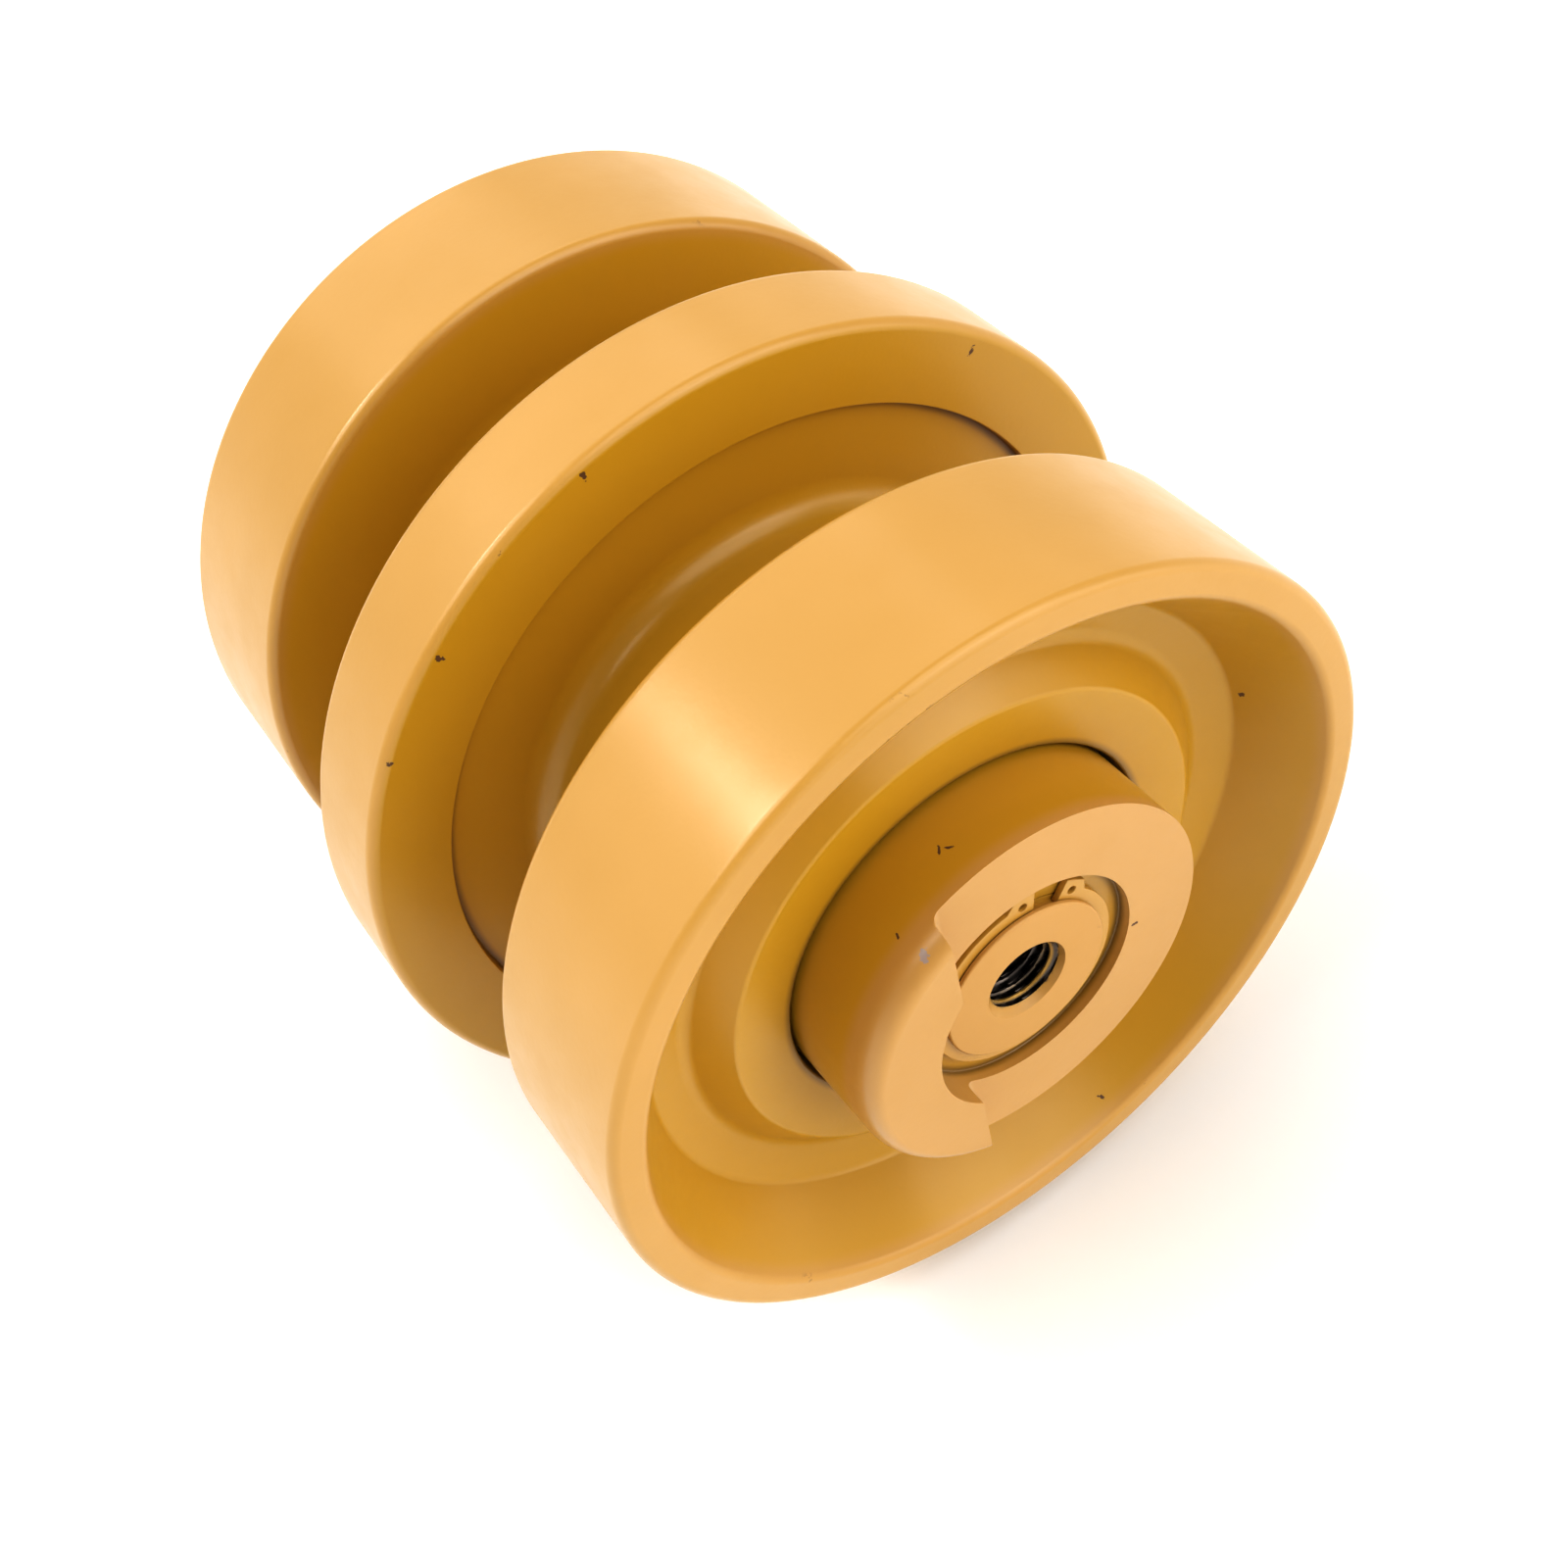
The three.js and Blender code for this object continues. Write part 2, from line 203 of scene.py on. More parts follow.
def add_object(name, mesh):
    piece = bpy.data.objects.new(name, mesh)
    bpy.context.scene.collection.objects.link(piece)
    return piece


def smooth(mesh):
    """Smooth shading, with an edge wherever two faces turn sharply."""
    mesh.shade_smooth()
    mesh.set_sharp_from_angle(angle=math.radians(34))


def even_normals(piece):
    """Keeps broad faces flat beside their small fillets."""
    weighted = piece.modifiers.new("even_normals", "WEIGHTED_NORMAL")
    weighted.keep_sharp = True


def finish_mesh(bm, name):
    """Turns a bmesh into an object with outward faces, smooth shading and crisp edges."""
    bmesh.ops.remove_doubles(bm, verts=bm.verts, dist=1e-7)
    bmesh.ops.dissolve_degenerate(bm, edges=bm.edges, dist=1e-7)
    bmesh.ops.recalc_face_normals(bm, faces=bm.faces)
    mesh = bpy.data.meshes.new(name)
    bm.to_mesh(mesh)
    bm.free()
    smooth(mesh)
    piece = add_object(name, mesh)
    even_normals(piece)
    return piece


def turned(name, points, segments, closed=True, shape=None):
    """Revolves an outline about Y. shape(radius, along, angle) may move a point's radius."""
    bm = bmesh.new()
    rings = []
    for k in range(segments):
        angle = 2 * math.pi * k / segments
        ring = []
        for radius, along in points:
            r = shape(radius, along, angle) if shape else radius
            co = Vector((r * math.cos(angle), along, r * math.sin(angle))) * MM
            ring.append(bm.verts.new(co))
        rings.append(ring)
    count = len(points) if closed else len(points) - 1
    for k in range(segments):
        here, there = rings[k], rings[(k + 1) % segments]
        for i in range(count):
            j = (i + 1) % len(points)
            bm.faces.new((here[i], here[j], there[j], there[i]))
    return finish_mesh(bm, name)


def place(piece, node, body, slot, material):
    """The piece stands for a CAD node, rides on its body and gets its finish."""
    piece.data.materials.clear()
    piece.data.materials.append(material)
    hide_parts(node)
    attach(piece, body)


# ---- material helpers ----------------------------------------------------------------
class Finish:
    """A Principled material with short calls for the nodes that feed it."""

    def __init__(self, name):
        self.material = bpy.data.materials.new(name)
        self.material.use_nodes = True
        self.tree = self.material.node_tree
        self.shader = self.tree.nodes["Principled BSDF"]
        self.place = self.add("ShaderNodeTexCoord").outputs["Object"]

    def add(self, kind, inputs=None, **settings):
        node = self.tree.nodes.new(kind)
        for key, value in settings.items():
            setattr(node, key, value)
        for key, value in (inputs or {}).items():
            self.feed(node.inputs[key], value)
        return node

    def feed(self, socket, value):
        if isinstance(value, bpy.types.NodeSocket):
            self.tree.links.new(value, socket)
        else:
            socket.default_value = value

    def math(self, operation, *values):
        inputs = dict(enumerate(values))
        return self.add("ShaderNodeMath", inputs, operation=operation).outputs[0]

    def ramp(self, value, low, high, to_low=0.0, to_high=1.0):
        inputs = {
            "Value": value,
            "From Min": low,
            "From Max": high,
            "To Min": to_low,
            "To Max": to_high,
        }
        node = self.add("ShaderNodeMapRange", inputs, interpolation_type="SMOOTHSTEP")
        return node.outputs["Result"]

    def noise(self, scale, detail=3.0, roughness=0.55):
        inputs = {
            "Vector": self.place,
            "Scale": scale,
            "Detail": detail,
            "Roughness": roughness,
        }
        return self.add("ShaderNodeTexNoise", inputs).outputs["Fac"]

    def mix(self, factor, a, b):
        node = self.add("ShaderNodeMix", data_type="RGBA")
        colours = [socket for socket in node.inputs if socket.type == "RGBA"]
        self.feed(node.inputs["Factor"], factor)
        self.feed(colours[0], a)
        self.feed(colours[1], b)
        return [socket for socket in node.outputs if socket.type == "RGBA"][0]

    def blend(self, factor, a, b):
        """A plain number that goes from a to b with the factor."""
        node = self.add("ShaderNodeMix", data_type="FLOAT")
        numbers = [s for s in node.inputs if s.type == "VALUE" and s.name in ("A", "B")]
        self.feed(node.inputs["Factor"], factor)
        self.feed(numbers[0], a)
        self.feed(numbers[1], b)
        return [socket for socket in node.outputs if socket.type == "VALUE"][0]

    def radius_and_along(self):
        """Distance from the roller's axis and along it from the middle, in millimetres."""
        split = self.add("ShaderNodeSeparateXYZ", {"Vector": self.place})
        across = self.math("MULTIPLY", split.outputs["X"], split.outputs["X"])
        upward = self.math("MULTIPLY", split.outputs["Z"], split.outputs["Z"])
        radius = self.math("SQRT", self.math("ADD", across, upward))
        along = self.math("ABSOLUTE", split.outputs["Y"])
        return self.math("DIVIDE", radius, MM), self.math("DIVIDE", along, MM)

    def bump(self, height, distance, strength=1.0):
        inputs = {"Height": height, "Distance": distance, "Strength": strength}
        return self.add("ShaderNodeBump", inputs).outputs["Normal"]

    def feed_shader(self, **inputs):
        for key, value in inputs.items():
            self.feed(self.shader.inputs[key.replace("_", " ")], value)


SHELL_PAINT = [(0.52, 0.303, 0.066, 1), (0.55, 0.325, 0.082, 1)]
# Collar paint: the shell's yellow enamel with extra blue as a painted sheen of the lit front faces.
COLLAR_PAINT_AND_SHEEN = [(0.53, 0.312, 0.092, 1), (0.56, 0.333, 0.108, 1)]
# Painted shade: the paint with less blue, for the flange sides, grooves and dishes.
PAINT_IN_RECESS_SHADE = (0.52, 0.304, 0.016, 1)
PAINT_DUSTY = (0.48, 0.26, 0.03, 1)
# Painted shade for the dark line along the inside corners.
CORNER_SHADE = (0.20, 0.11, 0.02, 1)
BARE_SPOT = (0.13, 0.06, 0.02, 1)
SCRAPED = (0.33, 0.30, 0.34, 1)
STEEL = (0.50, 0.49, 0.48, 1)
STEEL_DARKER = (0.42, 0.41, 0.40, 1)
OILY = (0.13, 0.11, 0.095, 1)
RUBBER = (0.012, 0.012, 0.013, 1)
RUBBER_BLOOM = (0.035, 0.034, 0.033, 1)
MARKS_PER_MM = 26.0

# Knocks and scrapes that the roller has: angle about the axis in degrees (0 at +X, 90 at the
# top), radius, distance along Y, half length, half width and tilt away from the tangent.
SHELL_KNOCKS = [
    (117.3, 127.6, -17.0, 4.2, 0.7, 6),
    (104.5, 124.4, -16.5, 0.9, 0.8, 0),
    (130.8, 124.2, -16.5, 0.8, 0.7, 0),
    (145.2, 126.7, -16.5, 0.7, 0.6, 0),
    (47.6, 122.2, -16.5, 0.8, 0.6, 0),
    (7.8, 97.1, -104.0, 1.1, 0.8, 40),
    (-75.7, 106.0, -118.8, 1.3, 0.5, 60),
]
COLLAR_KNOCKS = [
    (101.8, 55.4, -118.0, 1.4, 0.35, 55),
    (99.9, 55.4, -119.4, 1.2, 0.35, -35),
    (124.0, 55.4, -126.2, 0.9, 0.4, 70),
    (-12.8, 36.0, -130.0, 1.0, 0.3, 30),
]
COLLAR_SCRAPES = [(123.0, 55.0, -135.0, 2.2, 1.2, 50)]


def near_edges(look, edges, width):
    """1 within width millimetres of any of these (radius, distance) circles, else 0."""
    radius, along = look.radius_and_along()
    nearest = 1000.0
    for edge_radius, edge_along in edges:
        across = look.math("SUBTRACT", radius, edge_radius)
        lengthwise = look.math("SUBTRACT", along, edge_along)
        square = look.math(
            "ADD",
            look.math("MULTIPLY", across, across),
            look.math("MULTIPLY", lengthwise, lengthwise),
        )
        distance = look.math("SQRT", square)
        nearest = look.math("MINIMUM", distance, nearest)
    return look.ramp(nearest, 0.0, width, 1.0, 0.0)


def specks(look, cells_per_metre, share, size):
    """Small irregular spots, one in some of the cells of a Voronoi pattern."""
    wobble = look.noise(420.0, 2.0)
    inputs = {"Vector": look.place, "Scale": cells_per_metre, "Randomness": 1.0}
    cells = look.add("ShaderNodeTexVoronoi", inputs)
    pick = look.add("ShaderNodeSeparateColor", {"Color": cells.outputs["Color"]})
    chosen = look.math("LESS_THAN", pick.outputs["Red"], share)
    spread = look.math("MULTIPLY_ADD", pick.outputs["Green"], size, size * 0.35)
    edge = look.math("MULTIPLY", spread, look.ramp(wobble, 0.3, 0.7, 0.25, 1.5))
    inside = look.math("LESS_THAN", cells.outputs["Distance"], edge)
    return look.math("MULTIPLY", inside, chosen)


def streak(look, ragged, angle, radius, along, half_length, half_width, tilt):
    """1 inside a small ragged spot on the surface, drawn out round the axis and then tilted."""
    turn = math.radians(angle)
    inputs = {
        "Vector": look.place,
        "Location": Vector((radius * math.cos(turn), along, radius * math.sin(turn))) * MM,
        "Rotation": (math.radians(tilt), -turn, 0),
        "Scale": Vector((1.5, half_width, half_length)) * MM,
    }
    local = look.add("ShaderNodeMapping", inputs, vector_type="TEXTURE")
    length = look.add("ShaderNodeVectorMath", {0: local.outputs[0]}, operation="LENGTH")
    level = look.math("ADD", length.outputs["Value"], ragged)
    return look.ramp(level, 0.75, 1.0, 1.0, 0.0)


def streaks(look, places):
    """1 inside any of the listed knocks or scrapes."""
    ragged = look.ramp(look.noise(900.0, 2.0), 0.3, 0.7, -0.4, 0.4)
    found = 0.0
    for place_and_size in places:
        found = look.math("MAXIMUM", streak(look, ragged, *place_and_size), found)
    return found


def recess_shade(look):
    """1 on the flange's sides and inside the grooves and dishes, where the paint gets a painted
    shade.
    """
    radius, along = look.radius_and_along()
    outward = look.math("ADD", along, look.ramp(radius, 60.0, 90.0, 0.0, SEAT_Y - LIP_Y))
    dished = look.math(
        "MULTIPLY",
        look.ramp(radius, TREAD_R - 7.0, TREAD_R - 2.0, 1.0, 0.0),
        look.ramp(outward, SEAT_Y - 5.5, SEAT_Y - 0.5, 1.0, 0.0),
    )
    flange_sides = look.math(
        "MULTIPLY",
        look.ramp(radius, FLANGE_R - 2.7, FLANGE_R - 0.6, 1.0, 0.0),
        look.ramp(along, FLANGE_HALF + 20.0, RIM_INNER_Y - 10.0, 1.0, 0.0),
    )
    return look.math("MAXIMUM", dished, flange_sides)


def paint_layers(look, tones, edges, knocks=(), corners=()):
    """Colour, roughness, chips and height of the enamel, with painted shade in the grooves, dishes
    and inside corners.
    """
    broad = look.noise(9.0, 3.0)
    fine = look.noise(60.0, 4.0)
    colour = look.mix(look.ramp(broad, 0.35, 0.65), *tones)
    # Painted shade: the flange sides, grooves and dishes get a darker, more saturated copy of the
    # paint.
    colour = look.mix(look.math("MULTIPLY", recess_shade(look), 0.9), colour, PAINT_IN_RECESS_SHADE)
    colour = look.mix(look.ramp(fine, 0.55, 0.85, 0.0, 0.10), colour, PAINT_DUSTY)
    # Painted shade: a dark line along the inside corners.
    if corners:
        corner_shading = look.math("MULTIPLY", near_edges(look, corners, 2.8), 0.9)
        colour = look.mix(corner_shading, colour, CORNER_SHADE)
    edge = near_edges(look, edges, 2.4)
    ragged = look.noise(330.0, 3.0, 0.6)
    patches = look.noise(34.0, 2.0)
    worn = look.math("MULTIPLY", edge, look.ramp(patches, 0.66, 0.72))
    worn = look.math("MULTIPLY", worn, look.ramp(ragged, 0.58, 0.62))
    spots = look.math("MAXIMUM", specks(look, 26.0, 0.16, 0.015), worn)
    if knocks:
        spots = look.math("MAXIMUM", spots, streaks(look, knocks))
    roughness = look.blend(look.ramp(fine, 0.3, 0.7), 0.33, 0.40)
    roughness = look.blend(spots, roughness, 0.75)
    peel = look.noise(520.0, 1.0)
    grain = look.math("MULTIPLY_ADD", broad, 3.0, peel)
    height = look.math("SUBTRACT", grain, look.math("MULTIPLY", spots, 2.5))
    return colour, roughness, spots, height


def painted(name, tones, edges, knocks=(), scrapes=(), corners=()):
    look = Finish(name)
    colour, roughness, spots, height = paint_layers(look, tones, edges, knocks, corners)
    colour = look.mix(spots, colour, BARE_SPOT)
    if scrapes:
        colour = look.mix(look.math("MULTIPLY", streaks(look, scrapes), 0.7), colour, SCRAPED)
    look.feed_shader(Base_Color=colour, Roughness=roughness)
    look.feed_shader(Normal=look.bump(height, 0.00006, 0.5))
    look.feed_shader(IOR=1.52, Coat_Weight=0.4, Coat_Roughness=0.22)
    return look.material


def shaft_finish():
    """Ground steel, painted on its two end faces, with black oil in the threaded holes."""
    look = Finish("shaft_steel")
    # The end faces take the collars' enamel and its painted sheen.
    paint, roughness, spots, height = paint_layers(look, COLLAR_PAINT_AND_SHEEN, [(SHAFT_END_R, SHAFT_END_Y)])
    paint = look.mix(spots, paint, BARE_SPOT)
    radius, along = look.radius_and_along()
    drift = look.ramp(look.noise(700.0, 3.0), 0.3, 0.7, -0.35, 0.35)
    level = look.math("ADD", along, drift)
    mouth = look.ramp(level, SHAFT_END_Y - 2.6, SHAFT_END_Y - 1.8)
    first_crests = look.ramp(level, SHAFT_END_Y - 8.0, SHAFT_END_Y - 3.0, 0.0, 0.8)
    tops = look.ramp(radius, THREAD_CREST_R + 0.2, THREAD_CREST_R + 1.0, 1.0, 0.0)
    crests = look.math("MULTIPLY", first_crests, tops)
    shown = look.math("MAXIMUM", mouth, crests)
    outside = look.ramp(radius, 20.0, 21.0)
    side = look.math("MULTIPLY", outside, look.ramp(along, SHAFT_END_Y - 7.5, SHAFT_END_Y - 5.5))
    coated = look.math("MAXIMUM", shown, side)
    in_hole = look.ramp(radius, COUNTERSINK_R + 0.1, COUNTERSINK_R + 0.5, 1.0, 0.0)
    lines = look.math("SINE", look.math("MULTIPLY", along, 42.0))
    steel = look.mix(look.ramp(lines, -1.0, 1.0, 0.0, 0.35), STEEL, STEEL_DARKER)
    bare = look.mix(in_hole, steel, OILY)
    smear = look.ramp(look.noise(190.0, 3.0), 0.35, 0.7, 0.12, 0.38)
    colour = look.mix(coated, bare, paint)
    metal = look.math("SUBTRACT", 1.0, coated)
    look.feed_shader(Base_Color=colour, Metallic=metal)
    look.feed_shader(Roughness=look.blend(coated, smear, roughness))
    look.feed_shader(Normal=look.bump(height, 0.00005, 0.5))
    return look.material


def turned_metal(name, colour, darker, roughness):
    """Bare metal with fine turning marks round the axis and a thin, uneven film of oil."""
    look = Finish(name)
    radius, along = look.radius_and_along()
    phase = look.math("MULTIPLY", look.math("ADD", radius, along), MARKS_PER_MM)
    marks = look.ramp(look.math("SINE", phase), -1.0, 1.0)
    film = look.noise(70.0, 3.0)
    tone = look.mix(look.ramp(film, 0.3, 0.75), colour, darker)
    look.feed_shader(Base_Color=tone, Metallic=1.0)
    look.feed_shader(Roughness=look.blend(film, roughness * 0.7, roughness * 1.4))
    look.feed_shader(Normal=look.bump(marks, 0.00002, 0.4))
    return look.material


def rubber(name):
    """Black nitrile with a dusty bloom."""
    look = Finish(name)
    bloom = look.noise(90.0, 4.0)
    tone = look.mix(look.ramp(bloom, 0.4, 0.8), RUBBER, RUBBER_BLOOM)
    look.feed_shader(Base_Color=tone)
    look.feed_shader(Roughness=look.blend(bloom, 0.45, 0.75))
    look.feed_shader(Normal=look.bump(look.noise(900.0, 2.0), 0.00003, 0.5))
    return look.material


SHELL_EDGES = [
    (FLANGE_R, FLANGE_HALF),
    (TREAD_R, RIM_INNER_Y),
    (TREAD_R, LIP_Y),
    (LIP_INNER_R, LIP_Y),
]
# The shell's inside corners, which get a painted shade line.
SHELL_CORNERS = [(RECESS_R - RECESS_DRAFT, RECESS_Y), (LABYRINTH_R, BOSS_FACE_Y)]
COLLAR_EDGES = [(COLLAR_R, SEAT_Y), (COLLAR_R, KEY_Y), (COUNTERBORE_R, SEAT_Y)]
# The collar's inside corner, which gets a painted shade line.
COLLAR_CORNERS = [(COUNTERBORE_R, COUNTERBORE_Y)]

FINISHES = {
    "shell_paint": painted(
        "shell_paint", SHELL_PAINT, SHELL_EDGES, SHELL_KNOCKS, corners=SHELL_CORNERS
    ),
    "collar_paint": painted(
        "collar_paint", COLLAR_PAINT_AND_SHEEN, COLLAR_EDGES, COLLAR_KNOCKS, COLLAR_SCRAPES, COLLAR_CORNERS
    ),
    "ring_paint": painted("ring_paint", SHELL_PAINT, [(RING_WEAR_R, COUNTERBORE_Y)]),
    "shaft_steel": shaft_finish(),
    "plug_steel": turned_metal("plug_steel", (0.12, 0.12, 0.12, 1), (0.06, 0.06, 0.06, 1), 0.35),
    "copper": turned_metal("copper", (0.72, 0.36, 0.20, 1), (0.50, 0.24, 0.13, 1), 0.30),
    "seal_iron": turned_metal("seal_iron", (0.34, 0.34, 0.35, 1), (0.20, 0.20, 0.21, 1), 0.30),
    "bronze": turned_metal("bronze", (0.62, 0.40, 0.17, 1), (0.45, 0.28, 0.12, 1), 0.32),
    "o_ring_rubber": rubber("o_ring_rubber"),
    "toric_rubber": rubber("toric_rubber"),
}
SLOT_OF = {part["node"]: part["material_slot"] for part in frame["record"]["subparts"]}
BODY_OF = {
    node: body
    for body, nodes in frame["record"]["behaviour"]["bodies"].items()
    for node in nodes
}


def stand_for(node, piece):
    place(piece, node, BODY_OF[node], SLOT_OF[node], FINISHES[SLOT_OF[node]])


# ---- roller --------------------------------------------------------------------------
def roller_shell():
    """Two rims, the middle flange, the dished ends and the stepped bore, as one body."""
    half = [
        (FLANGE_R, FLANGE_HALF, 3.0),
        (RECESS_R, FLANGE_HALF, 0.4),
        (RECESS_R - RECESS_DRAFT, RECESS_Y, 0.5),
        (BARREL_R, RECESS_Y, 9.0),
        (BARREL_R, RIM_INNER_Y, 14.0),
        (TREAD_R, RIM_INNER_Y, 3.0),
        (TREAD_R, LIP_Y, 2.8),
        (LIP_INNER_R, LIP_Y, 3.0),
        (DISH_FLOOR_R, DISH_FLOOR_Y, 3.0),
        (BOSS_FOOT_R, BOSS_FOOT_Y, 4.5),
        (BOSS_R, BOSS_Y, 1.8),
        (LABYRINTH_R, BOSS_FACE_Y, 0.8),
        (LABYRINTH_R, LABYRINTH_Y, 0.4),
        (SEAL_SEAT_R, LABYRINTH_Y, 0.4),
        (SEAL_SEAT_R, SEAL_SEAT_Y, 0.4),
        (BORE_R, SEAL_SEAT_Y, 0.8),
    ]
    return turned("shell", rounded(mirrored(half)), SHELL_SEGMENTS)


def sleeve(name, side, inner, outer, near, far, edge=0.4):
    """A plain ring between two radii and two distances from the middle."""
    corners = [
        (inner, near, edge),
        (outer, near, edge),
        (outer, far, edge),
        (inner, far, edge),
    ]
    return turned(name, rounded(at_end(corners, side), steps=3), SMALL_SEGMENTS)


def round_ring(name, side, centre_radius, along, section_radius):
    """A rubber ring of round section."""
    sides = 20
    points = []
    for k in range(sides):
        angle = 2 * math.pi * k / sides
        radius = centre_radius + section_radius * math.cos(angle)
        points.append((radius, side * (along + section_radius * math.sin(angle))))
    return turned(name, points, SMALL_SEGMENTS)


def seal_ring(name, side, direction):
    """An iron seal ring: a lapped face with a tail that its toric sits on."""
    face = SEAL_FACE_Y + direction * GAP / 2
    behind_rim = face + direction * SEAL_RING_RIM
    tail_end = face + direction * SEAL_RING_LENGTH
    corners = [
        (SEAL_RELIEF_R, face, 0.2),
        (SEAL_RING_R, face, 0.6),
        (SEAL_RING_R, behind_rim, 0.4),
        (SEAL_TAIL_R, behind_rim, 0.8),
        (SEAL_TAIL_R, tail_end, 0.5),
        (SEAL_BORE_R, tail_end, 0.5),
        (SEAL_BORE_R, face + direction * 1.2, 0.3),
    ]
    return turned(name, rounded(at_end(corners, side), steps=3), SMALL_SEGMENTS)


# ---- shaft ---------------------------------------------------------------------------
def shaft_end():
    """The +Y end of the shaft, from the thrust flange out and down the threaded hole."""
    groove_far = COUNTERBORE_Y + RING_GROOVE_WIDTH
    sink = COUNTERSINK_R - THREAD_CREST_R
    return [
        (THRUST_R, THRUST_HALF, 0.5),
        (JOURNAL_R, THRUST_HALF, 0.8),
        (JOURNAL_R, SHOULDER_Y, 0.6),
        (SHAFT_END_R, SHOULDER_Y, 0.4),
        (SHAFT_END_R, O_RING_Y - O_RING_GROOVE_HALF, 0.2),
        (O_RING_GROOVE_R, O_RING_Y - O_RING_GROOVE_HALF, 0.3),
        (O_RING_GROOVE_R, O_RING_Y + O_RING_GROOVE_HALF, 0.3),
        (SHAFT_END_R, O_RING_Y + O_RING_GROOVE_HALF, 0.2),
        (SHAFT_END_R, COUNTERBORE_Y, 0.1),
        (RING_GROOVE_R, COUNTERBORE_Y, 0.1),
        (RING_GROOVE_R, groove_far, 0.1),
        (SHAFT_END_R, groove_far, 0.1),
        (SHAFT_END_R, SHAFT_END_Y, 0.6),
        (COUNTERSINK_R, SHAFT_END_Y, 0.25),
        (THREAD_CREST_R, SHAFT_END_Y - sink, 0),
    ]


def thread_rows():
    """Points down the wall of the hole, close enough together to carry the thread."""
    top = SHAFT_END_Y - (COUNTERSINK_R - THREAD_CREST_R)
    step = THREAD_PITCH / 10
    count = int((top - THREAD_END_Y) / step)
    return [(THREAD_CREST_R, top - step * k) for k in range(1, count)]


def threaded(radius, along, angle):
    """Cuts the helical thread into the wall of the holes, and leaves the rest alone."""
    crest_edge, flank = 0.82, 0.70
    depth = SHAFT_END_Y - abs(along)
    in_hole = THREAD_CREST_R - 0.01 <= radius < COUNTERSINK_R - 0.1
    if not in_hole or abs(along) < THREAD_END_Y + 2:
        return radius
    phase = (along / THREAD_PITCH + angle / (2 * math.pi)) % 1
    from_root = abs(phase - 0.5) * 2
    cut = THREAD_DEPTH * min(max((crest_edge - from_root) / flank, 0), 1)
    cone = COUNTERSINK_R - depth
    return max(cone, THREAD_CREST_R + cut)


def shaft():
    """Both ends of the shaft, with the oil way drilled from the bottom of the front hole."""
    half = [tuple(point) for point in rounded(shaft_end(), closed=False) + thread_rows()]
    rear = half + [(THREAD_CREST_R, THREAD_END_Y), (0, THREAD_END_Y - 6.2)]
    front = [(radius, -along) for radius, along in half]
    way = [(THREAD_CREST_R, -THREAD_END_Y), (OIL_WAY_R, -THREAD_END_Y), (OIL_WAY_R, 4), (0, 7)]
    points = way[::-1] + front[::-1] + rear
    return turned("shaft_body", points, SMALL_SEGMENTS, closed=False, shape=threaded)


def oil_plug():
    """A headless plug with a hexagonal socket."""
    near, far = -(THREAD_END_Y + 2.1), -(THREAD_END_Y + 11.1)
    corners = [
        (0, near, 0),
        (OIL_PLUG_R, near, 0.6),
        (OIL_PLUG_R, far, 0.8),
        (OIL_PLUG_SOCKET_R, far, 0.3),
        (OIL_PLUG_SOCKET_R, far + 5, 0),
        (0, far + 6.5, 0),
    ]

    def hexagonal(radius, along, angle):
        if radius > OIL_PLUG_SOCKET_R + 0.35 or radius == 0:
            return radius
        wedge = (angle % (math.pi / 3)) - math.pi / 6
        return radius * math.cos(math.pi / 6) / math.cos(wedge)

    points = rounded(corners, closed=False, steps=3)
    return turned("oil_plug_body", points, SMALL_SEGMENTS, closed=False, shape=hexagonal)


# ---- collar --------------------------------------------------------------------------
def key_relief(side):
    """A block that takes the collar down to its seat face beyond the key's flat."""
    fillet, far, high = 3.0, 2 * COLLAR_R, KEY_Y + 10
    outline = [(KEY_X, high)]
    for k in range(9):
        angle = math.pi * (1 + k / 16)
        x = KEY_X + fillet + fillet * math.cos(angle)
        outline.append((x, SEAT_Y + fillet + fillet * math.sin(angle)))
    outline += [(far, SEAT_Y), (far, high)]
    bm = bmesh.new()
    caps = []
    for z in (-far, far):
        caps.append([bm.verts.new(Vector((x, side * y, z)) * MM) for x, y in outline])
    count = len(outline)
    bm.faces.new(caps[0])
    bm.faces.new(list(reversed(caps[1])))
    for i in range(count):
        j = (i + 1) % count
        bm.faces.new((caps[0][i], caps[1][i], caps[1][j], caps[0][j]))
    return finish_mesh(bm, "key_relief")


def key_edge(steps=12):
    """The key's outer edge, a quarter of an ellipse from the collar's side to its flat top."""
    corners = []
    for k in range(steps + 1):
        angle = math.pi / 2 * k / steps
        radius = COLLAR_R - KEY_EDGE_IN * (1 - math.cos(angle))
        corners.append((radius, KEY_Y - KEY_EDGE_DOWN * (1 - math.sin(angle)), 0))
    return corners


